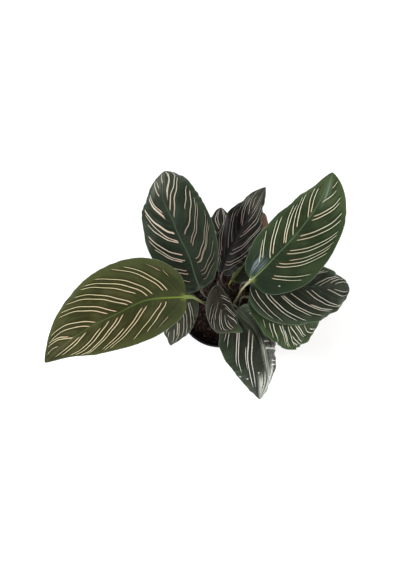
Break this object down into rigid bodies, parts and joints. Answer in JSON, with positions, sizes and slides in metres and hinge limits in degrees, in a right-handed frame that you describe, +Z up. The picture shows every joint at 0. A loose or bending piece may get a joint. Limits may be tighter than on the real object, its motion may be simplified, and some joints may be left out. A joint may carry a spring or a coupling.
{
  "type": "potted plant",
  "caption": "Pinstripe calathea in a round nursery pot: broad striped leaves on bent stalks over dark soil, standing on a flat base.",
  "frame": {"origin": "centre of the pot's flat base, on the surface it stands on", "axes": "+Z up, +X to the right and +Y away from the viewer; the largest leaf points to -X"},
  "size_m": [0.3936, 0.2965, 0.2733],
  "materials": {
    "pot_plastic": "satin",
    "potting_soil": "matte",
    "stalk_skin": "satin",
    "leaf_01_skin": "satin",
    "leaf_02_skin": "satin",
    "leaf_03_skin": "satin",
    "leaf_04_skin": "satin",
    "leaf_05_skin": "satin",
    "leaf_06_skin": "satin",
    "leaf_07_skin": "satin",
    "leaf_08_skin": "satin",
    "leaf_09_skin": "satin",
    "leaf_10_skin": "satin",
    "leaf_11_skin": "satin"
  },
  "bodies": {
    "root": {"pot": "pot_plastic", "soil": "potting_soil", "leaf_01_blade": "leaf_01_skin", "leaf_01_stalk": "stalk_skin", "leaf_02_blade": "leaf_02_skin", "leaf_02_stalk": "stalk_skin", "leaf_03_blade": "leaf_03_skin", "leaf_03_stalk": "stalk_skin", "leaf_04_blade": "leaf_04_skin", "leaf_04_stalk": "stalk_skin", "leaf_05_blade": "leaf_05_skin", "leaf_05_stalk": "stalk_skin", "leaf_06_blade": "leaf_06_skin", "leaf_06_stalk": "stalk_skin", "leaf_07_blade": "leaf_07_skin", "leaf_07_stalk": "stalk_skin", "leaf_08_blade": "leaf_08_skin", "leaf_08_stalk": "stalk_skin", "leaf_09_blade": "leaf_09_skin", "leaf_09_stalk": "stalk_skin", "leaf_10_blade": "leaf_10_skin", "leaf_10_stalk": "stalk_skin", "leaf_11_blade": "leaf_11_skin", "leaf_11_stalk": "stalk_skin"}
  },
  "joints": []
}
